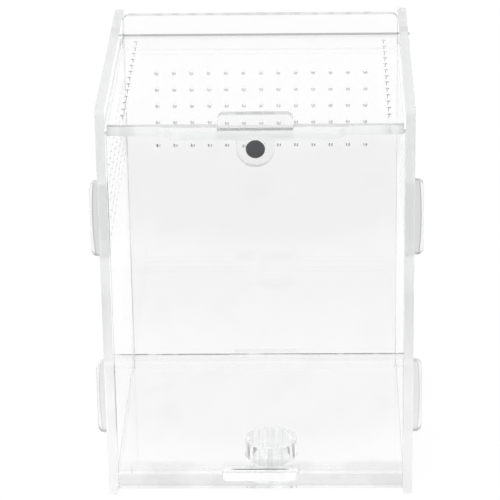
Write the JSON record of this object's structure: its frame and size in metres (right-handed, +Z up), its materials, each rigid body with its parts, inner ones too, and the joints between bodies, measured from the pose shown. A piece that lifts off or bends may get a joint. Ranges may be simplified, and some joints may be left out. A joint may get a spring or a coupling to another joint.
{
  "type": "small pet keeping box",
  "caption": "Clear acrylic keeping box for a small pet: tabbed sheet panels with vent holes, a hinged magnetic lid and a lift-out water cup.",
  "frame": {"origin": "on the ground under the middle of the box, measured over the side tabs, the finger lip and the side panels' rear edges", "axes": "+X to the right seen from the front, +Y from the front panel to the back panel, +Z up"},
  "size_m": [0.106, 0.1024, 0.135],
  "materials": {
    "clear_acrylic_sheet": "polished",
    "clear_acrylic_tube": "polished",
    "nickel_plated_magnet": "satin"
  },
  "bodies": {
    "box": {"left_side_panel": "clear_acrylic_sheet", "right_side_panel": "clear_acrylic_sheet", "front_panel": "clear_acrylic_sheet", "back_panel": "clear_acrylic_sheet", "floor_panel": "clear_acrylic_sheet", "front_magnet": "nickel_plated_magnet"},
    "lid": {"lid": "clear_acrylic_sheet", "lid_handle": "clear_acrylic_sheet", "handle_magnet": "nickel_plated_magnet"},
    "cup": {"water_cup": "clear_acrylic_tube"}
  },
  "joints": [
    {"name": "lid_hinge", "type": "hinge", "parent": "box", "child": "lid", "pos_m": [0, 0.0415, 0.1272], "axis": [-1, 0, 0], "range_deg": [0, 97]},
    {"name": "cup_lift", "type": "slide", "parent": "box", "child": "cup", "axis": [0, 0, 1], "range_m": [0, 0.03]}
  ]
}
